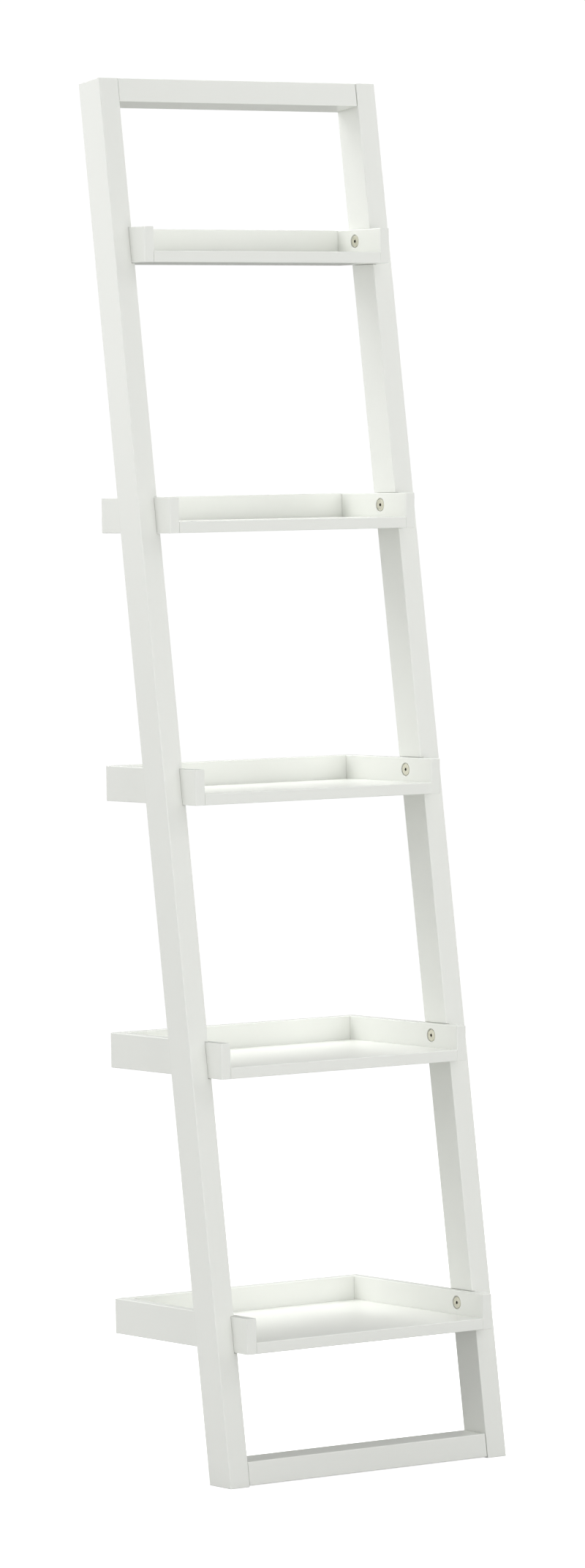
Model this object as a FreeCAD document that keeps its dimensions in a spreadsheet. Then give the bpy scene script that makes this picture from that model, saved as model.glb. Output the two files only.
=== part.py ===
import FreeCAD, Part
import math
import os
import Sketcher

# Leaning ladder shelf: two stiles lean back to a wall, are joined by a top rail and
# a bottom rail, and carry five trays that get deeper towards the floor.
# Frame: X to the right, Y towards the wall, Z up. The origin is on the floor,
# midway between the stiles and under the backs of the trays. Millimetres.

DIMENSIONS = {
    "overall_width": 450.0,
    "stile_width": 30.5,
    "stile_depth": 48.0,
    "stile_length": 1850.0,
    "lean_angle": 7.75,
    "foot_back": -250.0,
    "edge_radius": 1.2,
    "rail_height": 31.0,
    "rail_setback": 1.0,
    "rail_gap": 1.5,
    "tray_height": 47.0,
    "side_board": 15.0,
    "back_board": 15.0,
    "bottom_board": 15.0,
    "housing_depth": 5.0,
    "housing_play": 0.4,
    "head_radius": 7.8,
    "head_height": 2.6,
    "recess_radius": 9.1,
    "recess_depth": 3.2,
    "shank_radius": 2.95,
    "shank_length": 24.0,
    "shank_hole": 3.5,
    "socket_radius": 2.3,
    "socket_depth": 1.8,
    "insert_radius": 5.0,
    "insert_length": 14.0,
    "insert_bore": 3.1,
    "rail_dowel": 4.0,
    "rail_dowel_half": 15.0,
    "rail_dowel_pitch": 22.0,
    "tray_dowel": 3.0,
    "tray_dowel_half": 9.0,
    "dowel_play": 0.05,
}
TRAY_FLOORS = [1595.5, 1240.0, 884.5, 529.0, 173.5]
TRAY_FRONTS = [-111.5, -160.0, -208.0, -256.5, -304.5]
for number, (floor, front) in enumerate(zip(TRAY_FLOORS, TRAY_FRONTS), start=1):
    DIMENSIONS["floor_%d" % number] = floor
    DIMENSIONS["front_%d" % number] = front
TRAYS = range(1, len(TRAY_FLOORS) + 1)

doc = FreeCAD.newDocument("ladder_shelf")
sheet = doc.addObject("Spreadsheet::Sheet", "Sizes")
for row, (alias, value) in enumerate(DIMENSIONS.items(), start=1):
    sheet.set("A%d" % row, alias)
    sheet.set("B%d" % row, str(value))
    sheet.setAlias("B%d" % row, alias)
doc.recompute()

# Expressions shared by several pieces.
HALF = "Sizes.overall_width / 2"
INNER_FACE = "(%s - Sizes.stile_width)" % HALF
TRAY_OUTER = "(%s + Sizes.housing_depth)" % INNER_FACE
TRAY_INNER = "(%s - Sizes.side_board)" % TRAY_OUTER
LEAN = "Sizes.lean_angle"
RAIL_DEPTH = "(Sizes.stile_depth - Sizes.rail_setback)"
BOTTOM_RAIL_TOP = "(Sizes.rail_gap + Sizes.rail_height * cos(%s))" % LEAN

nodes = []
cuts = []


def origin_plane(body, role):
    """Return the body's own origin plane with the given role."""
    for feature in body.Origin.OriginFeatures:
        if feature.Role == role:
            return feature
    raise RuntimeError("no plane " + role)


def new_body(label):
    """Make the body of one sub-part."""
    body = doc.addObject("PartDesign::Body", label)
    body.Label = label
    nodes.append(body)
    return body


def new_sketch(body, name, role, offset):
    """Put a sketch on an origin plane, moved along the plane's normal."""
    sketch = body.newObject("Sketcher::SketchObject", body.Label + "_" + name)
    sketch.AttachmentSupport = [(origin_plane(body, role), "")]
    sketch.MapMode = "FlatFace"
    sketch.setExpression("AttachmentOffset.Base.z", offset)
    return sketch


def bind(sketch, constraint, expression):
    """Add a dimension to a sketch and drive it by an expression."""
    index = sketch.addConstraint(constraint)
    sketch.setExpression("Constraints[%d]" % index, expression)


def place_point(sketch, geometry, vertex, across, upward):
    """Fix a sketch point by its two distances from the origin."""
    bind(sketch, Sketcher.Constraint("DistanceX", -1, 1, geometry, vertex, 1.0), across)
    bind(sketch, Sketcher.Constraint("DistanceY", -1, 1, geometry, vertex, 1.0), upward)


def add_polygon(sketch, corners):
    """Draw a closed outline through corners given as expression pairs."""
    first = sketch.GeometryCount
    count = len(corners)
    rough = [FreeCAD.Vector(0, 0, 0), FreeCAD.Vector(9, 0, 0),
             FreeCAD.Vector(9, 9, 0), FreeCAD.Vector(0, 9, 0)]
    for index in range(count):
        sketch.addGeometry(Part.LineSegment(rough[index], rough[(index + 1) % count]))
    for index in range(count):
        following = first + (index + 1) % count
        sketch.addConstraint(Sketcher.Constraint("Coincident", first + index, 2, following, 1))
    for index, corner in enumerate(corners):
        place_point(sketch, first + index, 1, corner[0], corner[1])


def add_rectangle(sketch, low, high):
    """Draw an upright rectangle between two opposite corners."""
    add_polygon(sketch, [low, (high[0], low[1]), high, (low[0], high[1])])


def add_circle(sketch, centre, radius):
    """Draw a circle whose centre and radius are expressions."""
    normal = FreeCAD.Vector(0, 0, 1)
    index = sketch.addGeometry(Part.Circle(FreeCAD.Vector(0, 0, 0), normal, 2.0))
    bind(sketch, Sketcher.Constraint("Radius", index, 2.0), radius)
    place_point(sketch, index, 3, centre[0], centre[1])


def pad(body, sketch, length):
    """Pad a sketch along its normal."""
    feature = body.newObject("PartDesign::Pad", body.Label + "_pad")
    feature.Profile = sketch
    feature.setExpression("Length", length)
    sketch.Visibility = False
    doc.recompute()
    return feature


def pocket(body, sketch, name, depth, towards_plus):
    """Cut a sketch into the body, towards plus or minus of the sketch's normal."""
    feature = body.newObject("PartDesign::Pocket", body.Label + "_" + name)
    feature.Profile = sketch
    feature.Reversed = towards_plus
    feature.setExpression("Length", depth)
    doc.recompute()
    cuts.append(feature)
    return feature


def round_edges(body, chosen):
    """Round the edges of the body's tip that a test picks."""
    base = body.Tip
    names = []
    for index, edge in enumerate(base.Shape.Edges, start=1):
        if chosen(edge):
            names.append("Edge%d" % index)
    feature = body.newObject("PartDesign::Fillet", body.Label + "_rounding")
    feature.Base = (base, names)
    feature.setExpression("Radius", "Sizes.edge_radius")
    doc.recompute()


def span(edge, axis):
    """Length of an edge's bounding box along an axis."""
    box = edge.BoundBox
    return {"x": box.XLength, "y": box.YLength, "z": box.ZLength}[axis]


def drill(body, name, face, centres, radius, depth, towards_plus):
    """Cut round holes along X into the body, starting from the plane at face."""
    sketch = new_sketch(body, name + "_sketch", "YZ_Plane", face)
    for centre in centres:
        add_circle(sketch, centre, radius)
    pocket(body, sketch, name, depth, towards_plus)


def stile_axis(height):
    """Point on a stile's centre line at a height, as Y and Z expressions."""
    across = "Sizes.foot_back + (%s) * tan(%s) - Sizes.stile_depth / 2 / cos(%s)"
    return (across % (height, LEAN, LEAN), height)


def along_stile(distance, forward):
    """Point at a distance up the back edge and forward of it, as Y and Z expressions."""
    across = "Sizes.foot_back + (%s) * sin(%s) - (%s) * cos(%s)"
    upward = "(%s) * cos(%s) + (%s) * sin(%s)"
    return (across % (distance, LEAN, forward, LEAN), upward % (distance, LEAN, forward, LEAN))


def level_pair(height, depth):
    """Back and front corners of a leaning bar that is cut level at a height."""
    back = "Sizes.foot_back + (%s) * tan(%s)" % (height, LEAN)
    return (back, height), ("%s - (%s) / cos(%s)" % (back, depth, LEAN), height)


def rail_dowels(rail):
    """Centres of the two dowels in each end of a rail."""
    if rail == "top":
        distance = "Sizes.stile_length - Sizes.rail_height / 2"
    else:
        half_depth = "Sizes.stile_depth / 2 * sin(%s)" % LEAN
        distance = "((Sizes.rail_gap + %s) / 2 - %s) / cos(%s)" % (BOTTOM_RAIL_TOP, half_depth, LEAN)
    middle = RAIL_DEPTH + " / 2"
    half_pitch = "Sizes.rail_dowel_pitch / 2"
    return [along_stile(distance, middle + " - " + half_pitch),
            along_stile(distance, middle + " + " + half_pitch)]


def bolt_centre(tray):
    """Connector bolt of a tray: on the stile's centre line, halfway up the open rim."""
    return stile_axis("Sizes.floor_%d + (Sizes.bottom_board + Sizes.tray_height) / 2" % tray)


def tray_dowels(tray):
    """Centres of the dowels between a side board and the back and bottom boards."""
    floor = "Sizes.floor_%d" % tray
    front = "Sizes.front_%d" % tray
    back_middle = "-Sizes.back_board / 2"
    bottom_middle = floor + " + Sizes.bottom_board / 2"
    centres = [(back_middle, floor + " + Sizes.tray_height * 0.28"),
               (back_middle, floor + " + Sizes.tray_height * 0.76")]
    for share in (0.15, 0.85):
        across = "%s + (-Sizes.back_board - %s) * %s" % (front, front, share)
        centres.append((across, bottom_middle))
    return centres


def make_stile(side):
    """One stile: a leaning bar with housings for the trays and holes for fixings."""
    left = side == "left"
    body = new_body(side + "_stile")
    face = ("-" if left else "") + INNER_FACE
    profile = new_sketch(body, "profile", "YZ_Plane", "-" + HALF if left else face)
    back_foot, front_foot = level_pair("0", "Sizes.stile_depth")
    add_polygon(profile, [back_foot, front_foot,
                          along_stile("Sizes.stile_length", "Sizes.stile_depth"),
                          along_stile("Sizes.stile_length", "0")])
    pad(body, profile, "Sizes.stile_width")
    long_edge = DIMENSIONS["stile_length"] / 2
    round_edges(body, lambda edge: edge.Length > long_edge)
    housings = new_sketch(body, "housing_sketch", "YZ_Plane", face)
    for tray in TRAYS:
        floor = "Sizes.floor_%d" % tray
        low = floor + " - Sizes.housing_play"
        high = floor + " + Sizes.tray_height + Sizes.housing_play"
        add_rectangle(housings, ("Sizes.front_%d - 40" % tray, low), ("40", high))
    pocket(body, housings, "housings", "Sizes.housing_depth", not left)
    drill(body, "insert_holes", face, [bolt_centre(tray) for tray in TRAYS],
          "Sizes.insert_radius + Sizes.dowel_play",
          "Sizes.housing_depth + Sizes.insert_length", not left)
    drill(body, "dowel_holes", face, rail_dowels("top") + rail_dowels("bottom"),
          "Sizes.rail_dowel + Sizes.dowel_play", "Sizes.rail_dowel_half + 1", not left)


def make_rail(rail):
    """One rail between the stiles, flush with their backs. The top rail is square to the
    stiles, and the bottom rail is planed level above and below."""
    body = new_body(rail + "_rail")
    profile = new_sketch(body, "profile", "YZ_Plane", "-" + INNER_FACE)
    if rail == "top":
        bottom = "Sizes.stile_length - Sizes.rail_height"
        corners = [along_stile(bottom, "0"), along_stile(bottom, RAIL_DEPTH),
                   along_stile("Sizes.stile_length", RAIL_DEPTH),
                   along_stile("Sizes.stile_length", "0")]
    else:
        back_foot, front_foot = level_pair("Sizes.rail_gap", RAIL_DEPTH)
        back_top, front_top = level_pair(BOTTOM_RAIL_TOP, RAIL_DEPTH)
        corners = [back_foot, front_foot, front_top, back_top]
    add_polygon(profile, corners)
    pad(body, profile, "2 * " + INNER_FACE)
    round_edges(body, lambda edge: span(edge, "x") > 100)
    for end, face, towards_plus in [("left", "-" + INNER_FACE, True), ("right", INNER_FACE, False)]:
        drill(body, end + "_holes", face, rail_dowels(rail),
              "Sizes.rail_dowel + Sizes.dowel_play", "Sizes.rail_dowel_half + 1", towards_plus)


def make_board(label, low, high, floor, height):
    """A flat board: a rectangle seen from above, padded upwards."""
    body = new_body(label)
    outline = new_sketch(body, "outline", "XY_Plane", floor)
    add_rectangle(outline, low, high)
    pad(body, outline, height)
    return body


def make_side_board(tray, side):
    """A tray's side board, let into the stile's housing and bolted to the stile."""
    left = side == "left"
    floor = "Sizes.floor_%d" % tray
    front = "Sizes.front_%d" % tray
    if left:
        low, high = "-" + TRAY_OUTER, "-" + TRAY_INNER
    else:
        low, high = TRAY_INNER, TRAY_OUTER
    label = "tray_%d_%s_side" % (tray, side)
    body = make_board(label, (low, front), (high, "0"), floor, "Sizes.tray_height")
    round_edges(body, lambda edge: span(edge, "x") < 0.1)
    inner_face = high if left else low
    drill(body, "shank_hole", inner_face, [bolt_centre(tray)], "Sizes.shank_hole",
          "Sizes.side_board + 1", not left)
    drill(body, "head_recess", inner_face, [bolt_centre(tray)], "Sizes.recess_radius",
          "Sizes.recess_depth", not left)
    drill(body, "dowel_holes", inner_face, tray_dowels(tray),
          "Sizes.tray_dowel + Sizes.dowel_play", "Sizes.tray_dowel_half + 0.5", not left)


def make_cross_board(tray, kind):
    """A tray's back board or bottom board, between its side boards."""
    floor = "Sizes.floor_%d" % tray
    front = "Sizes.front_%d" % tray
    if kind == "back":
        low, high = ("-" + TRAY_INNER, "-Sizes.back_board"), (TRAY_INNER, "0")
        height, centres = "Sizes.tray_height", tray_dowels(tray)[:2]
    else:
        low, high = ("-" + TRAY_INNER, front), (TRAY_INNER, "-Sizes.back_board")
        height, centres = "Sizes.bottom_board", tray_dowels(tray)[2:]
    body = make_board("tray_%d_%s" % (tray, kind), low, high, floor, height)
    if kind == "back":
        top = DIMENSIONS["floor_%d" % tray] + DIMENSIONS["tray_height"]
        round_edges(body, lambda edge: span(edge, "x") > 100 and edge.BoundBox.ZMin > top - 0.1)
    else:
        lip = DIMENSIONS["front_%d" % tray]
        round_edges(body, lambda edge: span(edge, "x") > 100 and edge.BoundBox.YMax < lip + 0.1)
    for end, face, towards_plus in [("left", "-" + TRAY_INNER, True), ("right", TRAY_INNER, False)]:
        drill(body, end + "_holes", face, centres, "Sizes.tray_dowel + Sizes.dowel_play",
              "Sizes.tray_dowel_half + 0.5", towards_plus)


def rod(name, start, centre, radius, length):
    """A round rod along X: its low end, its Y and Z centre, radius and length."""
    cylinder = doc.addObject("Part::Cylinder", name)
    cylinder.setExpression("Radius", radius)
    cylinder.setExpression("Height", length)
    cylinder.Placement.Rotation = FreeCAD.Rotation(FreeCAD.Vector(0, 1, 0), 90)
    cylinder.setExpression("Placement.Base.x", start)
    cylinder.setExpression("Placement.Base.y", centre[0])
    cylinder.setExpression("Placement.Base.z", centre[1])
    return cylinder


def group(label, members):
    """Collect equal loose pieces in one sub-part."""
    compound = doc.addObject("Part::Compound", label)
    compound.Label = label
    compound.Links = members
    nodes.append(compound)


def make_rail_dowels():
    """Dowels that join the rails to the stiles."""
    members = []
    for rail in ("top", "bottom"):
        for sign, side in (("-", "left"), ("", "right")):
            start = "%s%s - Sizes.rail_dowel_half" % (sign, INNER_FACE)
            for index, centre in enumerate(rail_dowels(rail)):
                name = "rod_%s_%s_%d" % (rail, side, index)
                members.append(rod(name, start, centre, "Sizes.rail_dowel",
                                   "2 * Sizes.rail_dowel_half"))
    group("rail_dowels", members)


def make_tray_dowels(kind, chosen):
    """Dowels that join the side boards to the back boards or the bottom boards."""
    members = []
    for tray in TRAYS:
        for sign, side in (("-", "left"), ("", "right")):
            start = "%s%s - Sizes.tray_dowel_half" % (sign, TRAY_INNER)
            for index, centre in enumerate(tray_dowels(tray)[chosen]):
                name = "rod_%s_%d_%s_%d" % (kind, tray, side, index)
                members.append(rod(name, start, centre, "Sizes.tray_dowel",
                                   "2 * Sizes.tray_dowel_half"))
    group(kind + "_dowels", members)


def make_bolt(tray, side):
    """A flat-headed connector bolt with a hexagon socket, sunk in the side board."""
    left = side == "left"
    centre = bolt_centre(tray)
    name = "bolt_%d_%s" % (tray, side)
    seat = "(%s + Sizes.recess_depth)" % TRAY_INNER
    if left:
        head_start = "-" + seat
        shank_start = "-(%s + Sizes.shank_length)" % seat
        socket_start = "-(%s - Sizes.head_height + Sizes.socket_depth)" % seat
    else:
        head_start = seat + " - Sizes.head_height"
        shank_start = seat
        socket_start = seat + " - Sizes.head_height"
    head = rod(name + "_head", head_start, centre, "Sizes.head_radius", "Sizes.head_height")
    shank = rod(name + "_shank", shank_start, centre, "Sizes.shank_radius", "Sizes.shank_length")
    prism = doc.addObject("Part::Prism", name + "_socket")
    prism.Polygon = 6
    prism.setExpression("Circumradius", "Sizes.socket_radius")
    prism.setExpression("Height", "Sizes.socket_depth")
    prism.Placement.Rotation = FreeCAD.Rotation(FreeCAD.Vector(0, 1, 0), 90)
    prism.setExpression("Placement.Base.x", socket_start)
    prism.setExpression("Placement.Base.y", centre[0])
    prism.setExpression("Placement.Base.z", centre[1])
    joined = doc.addObject("Part::Fuse", name + "_blank")
    joined.Base = head
    joined.Tool = shank
    bolt = doc.addObject("Part::Cut", name)
    bolt.Base = joined
    bolt.Tool = prism
    return bolt


def make_insert(tray, side):
    """A threaded insert set in the stile behind the housing."""
    left = side == "left"
    centre = bolt_centre(tray)
    name = "insert_%d_%s" % (tray, side)
    start = "-(%s + Sizes.insert_length)" % TRAY_OUTER if left else TRAY_OUTER
    sleeve = rod(name + "_sleeve", start, centre, "Sizes.insert_radius", "Sizes.insert_length")
    bore = rod(name + "_bore", start, centre, "Sizes.insert_bore", "Sizes.insert_length")
    insert = doc.addObject("Part::Cut", name)
    insert.Base = sleeve
    insert.Tool = bore
    return insert


for stile_side in ("left", "right"):
    make_stile(stile_side)
for rail_name in ("top", "bottom"):
    make_rail(rail_name)
for tray_number in TRAYS:
    make_cross_board(tray_number, "bottom")
    make_cross_board(tray_number, "back")
    for board_side in ("left", "right"):
        make_side_board(tray_number, board_side)
make_rail_dowels()
make_tray_dowels("back", slice(0, 2))
make_tray_dowels("bottom", slice(2, 4))
both_sides = [(tray, side) for tray in TRAYS for side in ("left", "right")]
group("connector_bolts", [make_bolt(tray, side) for tray, side in both_sides])
group("threaded_inserts", [make_insert(tray, side) for tray, side in both_sides])
doc.recompute()

for item in doc.Objects:
    if "Invalid" in item.State or "Error" in item.State:
        raise RuntimeError("failed: %s %s" % (item.Name, item.State))
for feature in cuts:
    if feature.Shape.Volume > feature.BaseFeature.Shape.Volume - 1.0:
        raise RuntimeError("cuts nothing: " + feature.Name)
for node in nodes:
    if node.Shape.isNull() or not node.Shape.isValid():
        raise RuntimeError("bad shape: " + node.Label)

os.makedirs("parts", exist_ok=True)
for node in nodes:
    node.Shape.exportStep(os.path.join("parts", node.Label + ".step"))
    box = node.Shape.BoundBox
    print("%-22s %3d solids %10.1f mm3  y %8.1f..%8.1f  z %8.1f..%8.1f" % (
        node.Label, len(node.Shape.Solids), node.Shape.Volume, box.YMin, box.YMax,
        box.ZMin, box.ZMax))
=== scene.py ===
import math

import bmesh
import bpy
from mathutils import Euler, Matrix, Vector


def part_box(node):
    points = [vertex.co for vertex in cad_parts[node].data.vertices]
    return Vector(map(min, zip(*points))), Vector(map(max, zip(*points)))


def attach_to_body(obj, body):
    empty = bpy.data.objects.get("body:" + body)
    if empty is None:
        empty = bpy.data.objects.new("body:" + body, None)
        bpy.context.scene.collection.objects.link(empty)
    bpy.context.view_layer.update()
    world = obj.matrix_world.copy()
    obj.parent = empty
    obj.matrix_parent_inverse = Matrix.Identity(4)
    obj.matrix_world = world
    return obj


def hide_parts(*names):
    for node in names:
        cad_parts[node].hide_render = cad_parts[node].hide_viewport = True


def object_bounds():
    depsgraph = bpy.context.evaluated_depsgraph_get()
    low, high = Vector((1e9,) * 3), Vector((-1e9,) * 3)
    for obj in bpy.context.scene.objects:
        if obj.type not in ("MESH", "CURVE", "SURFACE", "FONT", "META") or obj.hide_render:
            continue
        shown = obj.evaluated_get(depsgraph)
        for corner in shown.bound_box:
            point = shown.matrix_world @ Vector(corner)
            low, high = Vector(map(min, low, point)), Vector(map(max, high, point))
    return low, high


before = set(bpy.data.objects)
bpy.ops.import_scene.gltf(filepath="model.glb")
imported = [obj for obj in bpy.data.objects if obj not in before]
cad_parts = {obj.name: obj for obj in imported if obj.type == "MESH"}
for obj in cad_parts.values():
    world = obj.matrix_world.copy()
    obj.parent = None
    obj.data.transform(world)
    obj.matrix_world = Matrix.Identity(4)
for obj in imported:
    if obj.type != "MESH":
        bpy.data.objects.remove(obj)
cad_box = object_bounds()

# Looks of a leaning ladder shelf: painted boards, sunk connector bolts, threaded inserts
# and fluted dowels, each built around its CAD node. Metres, in the row frame.

MM = 0.001
LEAN = math.radians(7.75)
STILE_DEPTH = 48 * MM
RAIL_DEPTH = 47 * MM
RAIL_HEIGHT = 31 * MM
HOUSING_DEPTH = 5 * MM
HOUSING_PLAY = 0.4 * MM
EXPOSED_EDGE = 1.2 * MM
CUT_EDGE = 0.8 * MM
HOUSING_EDGE = 0.8 * MM
RAIL_END_EDGE = 0.5 * MM
RAIL_JOINT_GAP = 0.8 * MM
BUTT_EDGE = 0.34 * MM
BEVEL_STEPS = 4
LEAST_FOLD = 0.3
SMOOTH_ANGLE = math.radians(34)
TOUCHING = 0.01 * MM

HEAD_RADIUS = 7.8 * MM
HEAD_HEIGHT = 2.6 * MM
RECESS_RADIUS = 9.1 * MM
RECESS_DEPTH = 3.2 * MM
SHANK_HOLE = 3.5 * MM
BOARD = 15 * MM
SOCKET_RADIUS = 2.3 * MM
SOCKET_DEPTH = 1.8 * MM
SHANK_RADIUS = 2.95 * MM
SHANK_LENGTH = 24 * MM
BOLT_PITCH = 1.25 * MM
BOLT_THREAD = 0.42 * MM
INSERT_RADIUS = 5 * MM
INSERT_BORE = 3.1 * MM
INSERT_LENGTH = 14 * MM
INSERT_PITCH = 2.8 * MM
INSERT_THREAD = 0.75 * MM
RAIL_DOWEL = (4 * MM, 30 * MM)
TRAY_DOWEL = (3 * MM, 18 * MM)
DOWEL_FLUTES = 16
SPIN_STEP = 0.35

TRAYS = range(1, 6)
TURN = 2 * math.pi


# ---------------------------------------------------------------- materials

def new_material(name):
    """An empty node material and its tree."""
    material = bpy.data.materials.new(name)
    material.use_nodes = True
    material.node_tree.nodes.clear()
    return material, material.node_tree


def add_node(tree, kind, **settings):
    """Add a node; settings that are sockets are set by name, the others as attributes."""
    node = tree.nodes.new(kind)
    for key, value in settings.items():
        if key in node.inputs:
            node.inputs[key].default_value = value
        else:
            setattr(node, key, value)
    return node


def surface(tree, **settings):
    """Principled shader joined to the output."""
    shader = add_node(tree, "ShaderNodeBsdfPrincipled")
    for key, value in settings.items():
        shader.inputs[key].default_value = value
    output = add_node(tree, "ShaderNodeOutputMaterial")
    tree.links.new(shader.outputs["BSDF"], output.inputs["Surface"])
    return shader


def stretched(tree, scale, rotation=(0, 0, 0)):
    """Object coordinates, turned and scaled per axis."""
    place = add_node(tree, "ShaderNodeTexCoord")
    turn = add_node(tree, "ShaderNodeMapping")
    turn.inputs["Rotation"].default_value = rotation
    tree.links.new(place.outputs["Object"], turn.inputs["Vector"])
    size = add_node(tree, "ShaderNodeMapping")
    size.inputs["Scale"].default_value = scale
    tree.links.new(turn.outputs["Vector"], size.inputs["Vector"])
    return size.outputs["Vector"]


def noise(tree, vector, scale, detail=3.0, roughness=0.5):
    """Noise over the given coordinates."""
    node = add_node(tree, "ShaderNodeTexNoise")
    node.inputs["Scale"].default_value = scale
    node.inputs["Detail"].default_value = detail
    node.inputs["Roughness"].default_value = roughness
    tree.links.new(vector, node.inputs["Vector"])
    return node.outputs["Fac"]


def remap(tree, value, low, high, source=(0.3, 0.7)):
    """Map a value's middle range to low..high."""
    node = add_node(tree, "ShaderNodeMapRange")
    node.inputs["From Min"].default_value = source[0]
    node.inputs["From Max"].default_value = source[1]
    node.inputs["To Min"].default_value = low
    node.inputs["To Max"].default_value = high
    tree.links.new(value, node.inputs["Value"])
    return node.outputs["Result"]


def mix_colour(tree, factor, first, second):
    """Blend two colours by a factor socket; a colour may be a value or a socket."""
    node = add_node(tree, "ShaderNodeMix", data_type="RGBA")
    tree.links.new(factor, node.inputs["Factor"])
    for name, colour in (("A", first), ("B", second)):
        socket = [s for s in node.inputs if s.name == name and s.type == "RGBA"][0]
        if isinstance(colour, bpy.types.NodeSocket):
            tree.links.new(colour, socket)
        else:
            socket.default_value = (*colour, 1.0)
    return [s for s in node.outputs if s.type == "RGBA"][0]


def bump(tree, height, strength, distance, below=None):
    """A bump layer, over the layer below where there is one."""
    node = add_node(tree, "ShaderNodeBump")
    node.inputs["Strength"].default_value = strength
    node.inputs["Distance"].default_value = distance
    tree.links.new(height, node.inputs["Height"])
    if below is not None:
        tree.links.new(below, node.inputs["Normal"])
    return node.outputs["Normal"]


PAINT_LIGHT = (0.855, 0.868, 0.828)
PAINT_SHADE = (0.846, 0.859, 0.818)
PAINT_GLOSS = (0.26, 0.27)
GRAIN_LONG, GRAIN_ACROSS = 3.0, 60.0
GRAIN_DEPTH = 0.03 * MM
PEEL_DEPTH = 0.02 * MM


def paint_material(name, grain, rotation=(0, 0, 0)):
    """Sprayed white satin paint over wood: faint grain along one axis and an orange-peel film."""
    material, tree = new_material(name)
    shader = surface(tree, Metallic=0.0)
    shader.inputs["IOR"].default_value = 1.5
    scale = [GRAIN_LONG if axis == grain else GRAIN_ACROSS for axis in "XYZ"]
    along = stretched(tree, scale, rotation)
    plain = stretched(tree, (1, 1, 1), rotation)
    fibres = noise(tree, along, 5.0, 6.0, 0.62)
    clouds = noise(tree, plain, 6.0, 4.0, 0.55)
    peel = noise(tree, plain, 700.0, 2.0, 0.5)
    tone = mix_colour(tree, remap(tree, clouds, 0, 0.5), PAINT_LIGHT, PAINT_SHADE)
    grained = mix_colour(tree, remap(tree, fibres, 0, 0.5, (0.45, 0.75)), tone, PAINT_SHADE)
    tree.links.new(grained, shader.inputs["Base Color"])
    tree.links.new(remap(tree, clouds, *PAINT_GLOSS), shader.inputs["Roughness"])
    film = bump(tree, fibres, 0.20, GRAIN_DEPTH)
    film = bump(tree, peel, 0.12, PEEL_DEPTH, film)
    tree.links.new(film, shader.inputs["Normal"])
    return material


def metal_material(name, light, dark, roughness):
    """Plated steel with turned rings, small scratches and a slightly aged tone."""
    material, tree = new_material(name)
    shader = surface(tree, Metallic=1.0)
    shader.inputs["Anisotropic"].default_value = 0.25
    place = stretched(tree, (1, 1, 1))
    rings = add_node(tree, "ShaderNodeTexWave", wave_type="RINGS", rings_direction="X")
    rings.inputs["Scale"].default_value = 900.0
    rings.inputs["Distortion"].default_value = 1.2
    tree.links.new(place, rings.inputs["Vector"])
    aged = noise(tree, place, 420.0, 4.0, 0.6)
    tone = mix_colour(tree, remap(tree, aged, 0, 1), light, dark)
    tree.links.new(tone, shader.inputs["Base Color"])
    tree.links.new(remap(tree, aged, roughness - 0.06, roughness + 0.10), shader.inputs["Roughness"])
    normal = bump(tree, rings.outputs["Fac"], 0.25, 0.03 * MM)
    normal = bump(tree, noise(tree, place, 3500.0, 2.0), 0.15, 0.02 * MM, normal)
    tree.links.new(normal, shader.inputs["Normal"])
    return material


def dowel_material():
    """Bare beech: fine fibres along X with short dark flecks."""
    material, tree = new_material("beech_dowel")
    shader = surface(tree, Metallic=0.0)
    shader.inputs["IOR"].default_value = 1.45
    fibres = noise(tree, stretched(tree, (12, 900, 900)), 1.0, 5.0, 0.6)
    flecks = noise(tree, stretched(tree, (260, 1500, 1500)), 1.0, 2.0, 0.5)
    tone = mix_colour(tree, remap(tree, fibres, 0, 1), (0.62, 0.41, 0.24), (0.47, 0.29, 0.16))
    tone = mix_colour(tree, remap(tree, flecks, 0, 0.7, (0.60, 0.72)), tone, (0.30, 0.16, 0.08))
    tree.links.new(tone, shader.inputs["Base Color"])
    tree.links.new(remap(tree, fibres, 0.50, 0.68), shader.inputs["Roughness"])
    tree.links.new(bump(tree, fibres, 0.5, 0.1 * MM), shader.inputs["Normal"])
    return material


def floor_material():
    """Plain pale studio floor, with a faint unevenness. Seen directly it glows a little, so that
    it blends into the white backdrop without throwing that light on the shelf."""
    material, tree = new_material("studio_floor")
    shader = surface(tree, Metallic=0.0)
    shader.inputs["IOR"].default_value = 1.2
    shader.inputs["Roughness"].default_value = 0.9
    shader.inputs["Emission Color"].default_value = (1, 1, 1, 1)
    glow = add_node(tree, "ShaderNodeMath", operation="MULTIPLY")
    glow.inputs[1].default_value = FLOOR_GLOW
    ray = add_node(tree, "ShaderNodeLightPath")
    tree.links.new(ray.outputs["Is Camera Ray"], glow.inputs[0])
    tree.links.new(glow.outputs["Value"], shader.inputs["Emission Strength"])
    clouds = noise(tree, stretched(tree, (1, 1, 1)), 2.0, 3.0)
    tone = mix_colour(tree, remap(tree, clouds, 0, 1), (0.50, 0.50, 0.495), (0.48, 0.48, 0.475))
    tree.links.new(tone, shader.inputs["Base Color"])
    return material


# ---------------------------------------------------------------- mesh tools

def soften(bm, width_of):
    """Give each convex edge the rounding width that width_of picks for it."""
    layer = bm.edges.layers.float.new("bevel_weight_edge")
    for edge in bm.edges:
        if len(edge.link_faces) == 2 and edge.is_convex and edge.calc_face_angle() > LEAST_FOLD:
            edge[layer] = width_of(edge) / EXPOSED_EDGE


def evaluated(piece):
    """Replace the piece's mesh by its modified mesh and drop the modifiers."""
    graph = bpy.context.evaluated_depsgraph_get()
    graph.update()
    mesh = bpy.data.meshes.new_from_object(piece.evaluated_get(graph))
    old = piece.data
    mesh.name = piece.name
    piece.modifiers.clear()
    piece.data = mesh
    bpy.data.meshes.remove(old)


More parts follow.
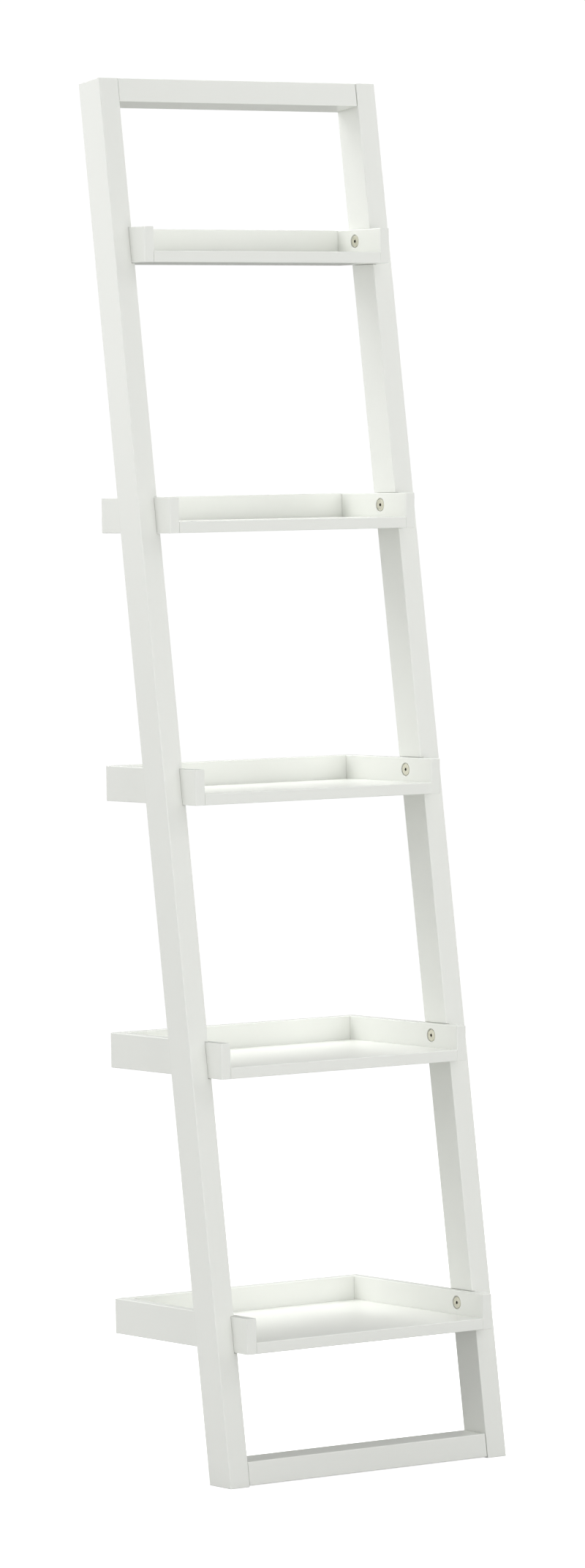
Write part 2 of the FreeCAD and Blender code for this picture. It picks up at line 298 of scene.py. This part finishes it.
def object_from(name, bm, materials):
    """Make a linked object of a bmesh."""
    mesh = bpy.data.meshes.new(name)
    bmesh.ops.recalc_face_normals(bm, faces=bm.faces)
    bm.to_mesh(mesh)
    bm.free()
    piece = bpy.data.objects.new(name, mesh)
    bpy.context.scene.collection.objects.link(piece)
    for material in materials:
        mesh.materials.append(material)
    return piece


def cutter_from(bm, sign, face_x, y, z):
    """A cutting solid turned along X, pointing outwards from a face of the given side."""
    cutter = object_from("cutter", bm, [])
    turn = Matrix.Rotation(math.pi, 4, "Z") if sign < 0 else Matrix.Identity(4)
    cutter.matrix_world = Matrix.Translation((face_x, y, z)) @ turn
    return cutter


def shared_mesh(name, bm, materials):
    """Make a shaded mesh of a bmesh, to be used by several pieces."""
    bmesh.ops.recalc_face_normals(bm, faces=bm.faces)
    mesh = bpy.data.meshes.new(name)
    bm.to_mesh(mesh)
    bm.free()
    for material in materials:
        mesh.materials.append(material)
    shade(mesh)
    return mesh


def finish_board(piece, cutters=()):
    """Round the marked edges, cut the holes and set the shading of a wooden piece."""
    rounding = piece.modifiers.new("rounding", "BEVEL")
    rounding.limit_method = "WEIGHT"
    rounding.width = EXPOSED_EDGE
    rounding.segments = BEVEL_STEPS
    rounding.use_clamp_overlap = True
    evaluated(piece)
    for cutter in cutters:
        cut = piece.modifiers.new("cut", "BOOLEAN")
        cut.operation = "DIFFERENCE"
        cut.solver = "EXACT"
        cut.object = cutter
        evaluated(piece)
        mesh = cutter.data
        bpy.data.objects.remove(cutter)
        bpy.data.meshes.remove(mesh)
    shade(piece.data)
    weighted = piece.modifiers.new("flat_faces", "WEIGHTED_NORMAL")
    weighted.keep_sharp = True
    return piece


def shade(mesh):
    """Smooth shading, with sharp edges where faces meet steeply."""
    mesh.polygons.foreach_set("use_smooth", [True] * len(mesh.polygons))
    mesh.set_sharp_from_angle(angle=SMOOTH_ANGLE)


def add_prism(bm, profile, x_low, x_high):
    """A prism along X over a profile of (y, z) corners."""
    near = [bm.verts.new((x_low, y, z)) for y, z in profile]
    far = [bm.verts.new((x_high, y, z)) for y, z in profile]
    bm.faces.new(near)
    bm.faces.new(list(reversed(far)))
    for index in range(len(profile)):
        after = (index + 1) % len(profile)
        bm.faces.new((near[after], near[index], far[index], far[after]))


def lathe(bm, profile, segments, radius_at=None, closed=False, dark_until=None):
    """Turn a profile of (x, radius) round the X axis. A radius of 0 is a point on the axis.
    radius_at(x, radius, angle) may vary a ring; faces before ring dark_until get slot 1."""
    rings = []
    for x, radius in profile:
        if radius == 0:
            rings.append([bm.verts.new((x, 0, 0))])
            continue
        ring = []
        for step in range(segments):
            angle = TURN * step / segments
            length = radius_at(x, radius, angle) if radius_at else radius
            ring.append(bm.verts.new((x, length * math.cos(angle), length * math.sin(angle))))
        rings.append(ring)
    pairs = list(zip(rings, rings[1:])) + ([(rings[-1], rings[0])] if closed else [])
    for index, (one, two) in enumerate(pairs):
        for step in range(segments):
            after = (step + 1) % segments
            if len(one) == 1:
                corners = (one[0], two[after], two[step])
            elif len(two) == 1:
                corners = (one[step], one[after], two[0])
            else:
                corners = (one[step], one[after], two[after], two[step])
            face = bm.faces.new(corners)
            face.material_index = 1 if dark_until is not None and index < dark_until else 0


def loose_solids(node):
    """Boxes of the separate solids of a CAD node, as (low, high) pairs from the bottom up."""
    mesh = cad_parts[node].data
    places = {}
    owner = []
    for vertex in mesh.vertices:
        key = tuple(round(c, 6) for c in vertex.co)
        owner.append(places.setdefault(key, len(places)))
    parent = list(range(len(places)))

    def root(index):
        while parent[index] != index:
            parent[index] = parent[parent[index]]
            index = parent[index]
        return index

    for edge in mesh.edges:
        a, b = (root(owner[v]) for v in edge.vertices)
        parent[a] = b
    members = {}
    for place, index in places.items():
        members.setdefault(root(index), []).append(place)
    boxes = []
    for group in members.values():
        low = Vector([min(p[axis] for p in group) for axis in range(3)])
        high = Vector([max(p[axis] for p in group) for axis in range(3)])
        boxes.append((low, high))
    return sorted(boxes, key=lambda box: (round(box[0].z, 4), box[0].x, box[0].y))


def attach(piece, slot, *nodes):
    """Every piece rides on the one body and stands for its nodes, which it hides."""
    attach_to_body(piece, "root")
    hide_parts(*nodes)
    return piece


# ---------------------------------------------------------------- places from the frame

STILE_LOW, STILE_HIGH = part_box("right_stile")
TRAY_REACH = 100 * MM
FOOT_BACK = STILE_LOW.y + STILE_DEPTH / math.cos(LEAN)
STILE_LENGTH = (STILE_HIGH.z - STILE_DEPTH * math.sin(LEAN)) / math.cos(LEAN)
OUTER_FACE = STILE_HIGH.x
INNER_FACE = STILE_LOW.x
BOLTS = loose_solids("connector_bolts")


def along_stile(distance, forward):
    """(y, z) at a distance up the stile's back edge and forward of it."""
    return (FOOT_BACK + distance * math.sin(LEAN) - forward * math.cos(LEAN),
            distance * math.cos(LEAN) + forward * math.sin(LEAN))


def level_pair(height, depth):
    """Back and front (y, z) corners of a leaning bar at a level height."""
    back = FOOT_BACK + height * math.tan(LEAN)
    return (back, height), (back - depth / math.cos(LEAN), height)


def is_left(box):
    """Whether a small solid is on the left of the shelf."""
    return box[0].x + box[1].x < 0


def bolt_axis(tray, left):
    """(y, z) of the connector bolt on one side of a tray."""
    low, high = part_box("tray_%d_bottom" % tray)
    for box in BOLTS:
        middle = (box[0] + box[1]) / 2
        if is_left(box) == left and low.z < middle.z < low.z + TRAY_REACH:
            return middle.y, middle.z
    raise ValueError("no bolt for tray %d" % tray)


# ---------------------------------------------------------------- wooden pieces

def build_stile(side, material):
    """A leaning bar in two layers: the inner one is open where the trays are let in."""
    sign = -1 if side == "left" else 1
    layers = [sign * OUTER_FACE, sign * (INNER_FACE + HOUSING_DEPTH), sign * INNER_FACE]
    stations = [level_pair(0, STILE_DEPTH)]
    housings = set()
    for tray in reversed(TRAYS):
        low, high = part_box("tray_%d_%s_side" % (tray, side))
        housings.add(len(stations))
        stations.append(level_pair(low.z - HOUSING_PLAY, STILE_DEPTH))
        stations.append(level_pair(high.z + HOUSING_PLAY, STILE_DEPTH))
    stations.append((along_stile(STILE_LENGTH, 0), along_stile(STILE_LENGTH, STILE_DEPTH)))
    bands = len(stations) - 1

    def solid(layer, band):
        """Whether a layer has wood between two stations."""
        return 0 <= layer < 2 and 0 <= band < bands and not (layer == 1 and band in housings)

    bm = bmesh.new()
    corner = {}
    for i, x in enumerate(layers):
        for j, pair in enumerate(stations):
            for k, (y, z) in enumerate(pair):
                corner[i, j, k] = bm.verts.new((x, y, z))
    for i in range(2):
        for j in range(bands):
            if not solid(i, j):
                continue
            sides = [[(i, j, 0), (i + 1, j, 0), (i + 1, j + 1, 0), (i, j + 1, 0)],
                     [(i, j, 1), (i, j + 1, 1), (i + 1, j + 1, 1), (i + 1, j, 1)]]
            if not solid(i - 1, j):
                sides.append([(i, j, 0), (i, j + 1, 0), (i, j + 1, 1), (i, j, 1)])
            if not solid(i + 1, j):
                sides.append([(i + 1, j, 0), (i + 1, j, 1), (i + 1, j + 1, 1), (i + 1, j + 1, 0)])
            if not solid(i, j - 1):
                sides.append([(i, j, 0), (i, j, 1), (i + 1, j, 1), (i + 1, j, 0)])
            if not solid(i, j + 1):
                sides.append([(i, j + 1, 0), (i + 1, j + 1, 0), (i + 1, j + 1, 1), (i, j + 1, 1)])
            for keys in sides:
                bm.faces.new([corner[key] for key in keys])
    bmesh.ops.delete(bm, geom=[v for v in bm.verts if not v.link_faces], context="VERTS")
    bmesh.ops.recalc_face_normals(bm, faces=bm.faces)
    bmesh.ops.dissolve_limit(bm, angle_limit=0.001, verts=bm.verts, edges=bm.edges)

    def width_of(edge):
        one, two = (v.co for v in edge.verts)
        along_bar = abs(one.z - two.z) > 20 * MM
        at_end = (one.z + two.z) / 2 < MM or min(one.z, two.z) > STILE_HIGH.z - 10 * MM
        in_housing = abs(abs(one.x) - (INNER_FACE + HOUSING_DEPTH)) <= TOUCHING
        if along_bar and not in_housing:
            return EXPOSED_EDGE
        return CUT_EDGE if at_end else HOUSING_EDGE

    soften(bm, width_of)
    piece = object_from(side + "_stile_painted", bm, [material])
    cutters = []
    for tray in TRAYS:
        y, z = bolt_axis(tray, side == "left")
        bm = bmesh.new()
        lathe(bm, [(-MM, 0), (-MM, INSERT_RADIUS), (INSERT_LENGTH, INSERT_RADIUS),
                   (INSERT_LENGTH, 0)], 32)
        cutters.append(cutter_from(bm, sign, layers[1], y, z))
    return attach(finish_board(piece, cutters), "white_paint", side + "_stile")


def build_rail(rail, material):
    """One rail between the stiles' inner faces, with a shadow gap at each joint. The top rail
    is square to the stiles and the bottom rail is level."""
    low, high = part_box(rail + "_rail")
    if rail == "top":
        low_edge = STILE_LENGTH - RAIL_HEIGHT
        profile = [along_stile(low_edge, 0), along_stile(low_edge, RAIL_DEPTH),
                   along_stile(STILE_LENGTH, RAIL_DEPTH), along_stile(STILE_LENGTH, 0)]
    else:
        back, front = level_pair(low.z, RAIL_DEPTH)
        back_top, front_top = level_pair(high.z, RAIL_DEPTH)
        profile = [back, front, front_top, back_top]
    bm = bmesh.new()
    add_prism(bm, profile, low.x + RAIL_JOINT_GAP, high.x - RAIL_JOINT_GAP)

    def width_of(edge):
        along_rail = abs(edge.verts[0].co.x - edge.verts[1].co.x) > STILE_DEPTH
        return EXPOSED_EDGE if along_rail else RAIL_END_EDGE

    bmesh.ops.recalc_face_normals(bm, faces=bm.faces)
    soften(bm, width_of)
    piece = object_from(rail + "_rail_painted", bm, [material])
    return attach(finish_board(piece), "white_paint", rail + "_rail")


def counterbore(face_x, sign, y, z):
    """Cutter for a bolt's recess with a broken rim, and its shank hole, through a side board."""
    rim = 0.35 * MM
    corner = 0.25 * MM
    profile = [(-rim * 3, 0), (-rim * 3, RECESS_RADIUS + rim * 4), (0, RECESS_RADIUS + rim),
               (rim, RECESS_RADIUS), (RECESS_DEPTH - corner, RECESS_RADIUS),
               (RECESS_DEPTH, RECESS_RADIUS - corner), (RECESS_DEPTH, SHANK_HOLE + corner),
               (RECESS_DEPTH + corner, SHANK_HOLE), (BOARD + MM, SHANK_HOLE), (BOARD + MM, 0)]
    bm = bmesh.new()
    lathe(bm, profile, 72)
    return cutter_from(bm, sign, face_x, y, z)


def build_board(node, kind, material, cutters=()):
    """A tray's board: exposed edges are rounded, butt joints keep a hairline."""
    low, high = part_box(node)
    bm = bmesh.new()
    add_prism(bm, [(low.y, low.z), (high.y, low.z), (high.y, high.z), (low.y, high.z)],
              low.x, high.x)

    def width_of(edge):
        middle = (edge.verts[0].co + edge.verts[1].co) / 2
        along_x = abs(edge.verts[0].co.x - edge.verts[1].co.x) > MM
        if kind == "side":
            return CUT_EDGE if along_x else EXPOSED_EDGE
        if not along_x:
            return BUTT_EDGE
        if kind == "back":
            exposed = middle.z > high.z - TOUCHING
        else:
            exposed = middle.y < low.y + TOUCHING
        return EXPOSED_EDGE if exposed else BUTT_EDGE

    bmesh.ops.recalc_face_normals(bm, faces=bm.faces)
    soften(bm, width_of)
    piece = object_from(node + "_painted", bm, [material])
    return attach(finish_board(piece, cutters), "white_paint", node)


def build_tray(tray, along_x, along_y):
    """Bottom board, back board and the two side boards of one tray."""
    build_board("tray_%d_bottom" % tray, "bottom", along_x)
    build_board("tray_%d_back" % tray, "back", along_x)
    for side, sign in (("left", -1), ("right", 1)):
        node = "tray_%d_%s_side" % (tray, side)
        low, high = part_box(node)
        face = high.x if sign < 0 else low.x
        cutter = counterbore(face, sign, *bolt_axis(tray, sign < 0))
        build_board(node, "side", along_y, [cutter])


# ---------------------------------------------------------------- fittings

def thread(pitch, depth, start, end):
    """Radius rule for a helical thread between two places on the axis."""
    def rule(x, radius, angle):
        if not start <= x <= end:
            return radius
        fade = min(1.0, (x - start) / pitch, (end - x) / pitch)
        wave = 0.5 + 0.5 * math.cos(TURN * (x / pitch) - angle)
        return radius - depth * fade * (1 - wave)
    return rule


def steps(start, end, count):
    """Evenly spaced places from start to end."""
    return [start + (end - start) * index / count for index in range(count + 1)]


def bolt_mesh(metal, dark):
    """Flat-headed connector bolt: origin at the head's face, shank towards +X."""
    thread_start = HEAD_HEIGHT + 1.2 * MM
    thread_end = HEAD_HEIGHT + SHANK_LENGTH - 1.0 * MM
    helix = thread(BOLT_PITCH, BOLT_THREAD, thread_start, thread_end)

    def rule(x, radius, angle):
        if radius <= SOCKET_RADIUS and x <= SOCKET_DEPTH:
            apothem = radius * math.cos(math.pi / 6)
            return apothem / math.cos(angle % (math.pi / 3) - math.pi / 6)
        return helix(x, radius, angle)

    edge = 0.8 * MM
    profile = [(SOCKET_DEPTH, 0), (SOCKET_DEPTH - 0.25 * MM, SOCKET_RADIUS * 0.8),
               (SOCKET_DEPTH - 0.25 * MM, SOCKET_RADIUS * 0.97),
               (0.2 * MM, SOCKET_RADIUS * 0.98), (0.05 * MM, SOCKET_RADIUS),
               (0.0, SOCKET_RADIUS + 0.25 * MM), (0.0, 4.4 * MM),
               (0.0, HEAD_RADIUS - 1.6 * MM)]
    for index in range(1, 7):
        turn = math.pi / 2 * index / 6
        profile.append((edge - edge * math.cos(turn), HEAD_RADIUS - edge + edge * math.sin(turn)))
    profile += [(HEAD_HEIGHT - 0.3 * MM, HEAD_RADIUS), (HEAD_HEIGHT, HEAD_RADIUS - 0.3 * MM),
                (HEAD_HEIGHT, SHANK_RADIUS + 0.35 * MM), (HEAD_HEIGHT + 0.35 * MM, SHANK_RADIUS)]
    profile += [(x, SHANK_RADIUS) for x in steps(thread_start, thread_end, 102)]
    tip = HEAD_HEIGHT + SHANK_LENGTH
    profile += [(tip, SHANK_RADIUS - 0.75 * MM), (tip, 0)]
    bm = bmesh.new()
    # The socket's faces take the second slot, the near-black painted shade.
    lathe(bm, profile, 48, rule, dark_until=4)
    return shared_mesh("connector_bolt", bm, [metal, dark])


def insert_mesh(metal):
    """Threaded insert: a sleeve with a coarse wood thread outside and a bolt thread inside."""
    outside = thread(INSERT_PITCH, INSERT_THREAD, 1.2 * MM, INSERT_LENGTH)
    inside = thread(BOLT_PITCH, -0.3 * MM, 0.6 * MM, INSERT_LENGTH - 0.6 * MM)

    def rule(x, radius, angle):
        if radius > INSERT_BORE + 0.8 * MM:
            return outside(x, radius, angle)
        return inside(x, radius, angle)

    outer = [(x, INSERT_RADIUS) for x in steps(0.3 * MM, INSERT_LENGTH - 0.3 * MM, 56)]
    bore = [(x, INSERT_BORE) for x in steps(INSERT_LENGTH - 0.3 * MM, 0.3 * MM, 80)]
    profile = ([(0.0, INSERT_RADIUS - 0.3 * MM)] + outer
               + [(INSERT_LENGTH, INSERT_RADIUS - 0.9 * MM), (INSERT_LENGTH, INSERT_BORE + 0.3 * MM)]
               + bore + [(0.0, INSERT_BORE + 0.3 * MM)])
    bm = bmesh.new()
    lathe(bm, profile, 36, rule, closed=True)
    return shared_mesh("threaded_insert", bm, [metal])


def dowel_mesh(name, size, wood):
    """Fluted dowel along X, centred on the origin, with chamfered ends."""
    radius, length = size
    chamfer = radius * 0.25

    def rule(x, ring, angle):
        groove = max(0.0, math.cos(DOWEL_FLUTES * angle)) ** 2
        return ring - radius * 0.07 * groove

    half = length / 2
    profile = [(-half, 0), (-half, radius - chamfer), (-half + chamfer, radius),
               (half - chamfer, radius), (half, radius - chamfer), (half, 0)]
    bm = bmesh.new()
    lathe(bm, profile, DOWEL_FLUTES * 6, rule)
    return shared_mesh(name, bm, [wood])


def place_copies(node, name, mesh, slot, from_inside):
    """One object of the shared mesh at each solid of a node. From inside, the mesh starts at
    the solid's inner end and points outwards; otherwise it is centred on the solid."""
    for index, box in enumerate(loose_solids(node), start=1):
        middle = (box[0] + box[1]) / 2
        left = is_left(box)
        piece = bpy.data.objects.new("%s_%d_%s" % (name, index, "left" if left else "right"), mesh)
        bpy.context.scene.collection.objects.link(piece)
        if from_inside:
            x = box[1].x if left else box[0].x
            turn = Matrix.Rotation(math.pi, 4, "Z") if left else Matrix.Identity(4)
        else:
            x = middle.x
            turn = Matrix.Identity(4)
        spin = Matrix.Rotation(SPIN_STEP * index, 4, "X")
        piece.matrix_world = Matrix.Translation((x, middle.y, middle.z)) @ turn @ spin
        attach(piece, slot, node)


# ---------------------------------------------------------------- studio

FLOOR_GLOW = 0.92
WORLD_STRENGTH = 0.2
BACKDROP = 1.02
FLOOR_HALF = 14
SHELF_MIDDLE_Y = -0.13
CAMERA_LENS = 158.5
CAMERA_PLACE = (-5.3406, -7.5898, 1.3385)
CAMERA_YAW, CAMERA_PITCH, CAMERA_ROLL = (math.radians(angle) for angle in (-35.66, -2.72, -0.91))
# name: (azimuth from +X towards +Y, elevation, distance, width, watts, height aimed at)
LAMPS = {
    "back_high": (90, 60, 4.0, 3.0, 145, 0.9),
    "back_left": (135, 25, 4.0, 3.0, 32, 0.9),
    "left_high": (165, 50, 4.0, 3.0, 17, 0.9),
    "left_low": (180, 12, 4.0, 3.0, 50, 0.9),
    "front_left": (250, 10, 4.0, 3.0, 20, 0.9),
    "front_low": (265, 5, 3.0, 2.0, 23, 0.4),
    "front_top": (270, 40, 2.4, 1.4, 10, 1.7),
    "front_right": (280, 10, 4.0, 3.0, 15, 0.9),
    "right_high": (340, 30, 4.0, 3.0, 58, 0.9),
    "back_right": (30, 30, 4.0, 3.0, 26, 0.9),
}


def add_lamp(name, azimuth, elevation, distance, width, watts, height):
    """A square soft light aimed at the shelf, at a height above the floor."""
    light = bpy.data.lights.new(name, "AREA")
    light.shape = "SQUARE"
    light.size = width
    light.energy = watts
    lamp = bpy.data.objects.new(name, light)
    bpy.context.scene.collection.objects.link(lamp)
    a, e = math.radians(azimuth), math.radians(elevation)
    towards = Vector((math.cos(a) * math.cos(e), math.sin(a) * math.cos(e), math.sin(e)))
    lamp.location = Vector((0, SHELF_MIDDLE_Y, height)) + towards * distance
    lamp.rotation_euler = towards.to_track_quat("Z", "Y").to_euler()
    lamp.visible_camera = False


def add_floor():
    """A large pale floor under the shelf."""
    bm = bmesh.new()
    bmesh.ops.create_grid(bm, x_segments=24, y_segments=24, size=FLOOR_HALF)
    floor = object_from("floor", bm, [floor_material()])
    floor.location = (0, 0, cad_box[0][2] - 0.2 * MM)


def add_world():
    """A white backdrop that gives only a low, even light."""
    world = bpy.data.worlds.new("studio")
    bpy.context.scene.world = world
    world.use_nodes = True
    tree = world.node_tree
    sky = tree.nodes["Background"]
    sky.inputs["Color"].default_value = (1, 1, 1, 1)
    ray = add_node(tree, "ShaderNodeLightPath")
    strength = remap(tree, ray.outputs["Is Camera Ray"], WORLD_STRENGTH, BACKDROP, (0, 1))
    tree.links.new(strength, sky.inputs["Strength"])


def add_camera():
    """A long lens, slightly above the middle and well to the left of the front."""
    data = bpy.data.cameras.new("camera")
    camera = bpy.data.objects.new("camera", data)
    bpy.context.scene.collection.objects.link(camera)
    data.sensor_fit = "VERTICAL"
    data.sensor_height = 36
    data.lens = CAMERA_LENS
    data.clip_start = 0.5
    data.clip_end = 60
    camera.location = CAMERA_PLACE
    look = Euler((math.pi / 2 + CAMERA_PITCH, 0, CAMERA_YAW), "XYZ").to_matrix()
    camera.rotation_euler = (look @ Matrix.Rotation(CAMERA_ROLL, 3, "Z")).to_euler()
    bpy.context.scene.camera = camera


# ---------------------------------------------------------------- the whole shelf

paint_x = paint_material("white_paint_grain_x", "X")
paint_y = paint_material("white_paint_grain_y", "Y")
paint_up = paint_material("white_paint_grain_up", "Z", (LEAN, 0, 0))
nickel = metal_material("antique_nickel", (0.78, 0.76, 0.67), (0.62, 0.60, 0.49), 0.36)
# The socket_shadow steel is near-black: painted shade in the bolts' hex sockets, standing in for the
# shade inside the hole.
socket = metal_material("socket_shadow", (0.10, 0.09, 0.07), (0.05, 0.045, 0.04), 0.55)
zinc = metal_material("zinc_plate", (0.68, 0.68, 0.66), (0.52, 0.52, 0.50), 0.40)
beech = dowel_material()

for stile_side in ("left", "right"):
    build_stile(stile_side, paint_up)
for rail_name in ("top", "bottom"):
    build_rail(rail_name, paint_x)
for tray_number in TRAYS:
    build_tray(tray_number, paint_x, paint_y)
place_copies("connector_bolts", "connector_bolt", bolt_mesh(nickel, socket), "bolt_steel", True)
place_copies("threaded_inserts", "threaded_insert", insert_mesh(zinc), "insert_metal", True)
place_copies("rail_dowels", "rail_dowel", dowel_mesh("rail_dowel", RAIL_DOWEL, beech),
             "dowel_wood", False)
tray_dowel = dowel_mesh("tray_dowel", TRAY_DOWEL, beech)
place_copies("back_dowels", "back_dowel", tray_dowel, "dowel_wood", False)
place_copies("bottom_dowels", "bottom_dowel", tray_dowel, "dowel_wood", False)

add_floor()
add_world()
for lamp_name, lamp in LAMPS.items():
    add_lamp(lamp_name, *lamp)
add_camera()
bpy.context.scene.view_settings.view_transform = "Standard"
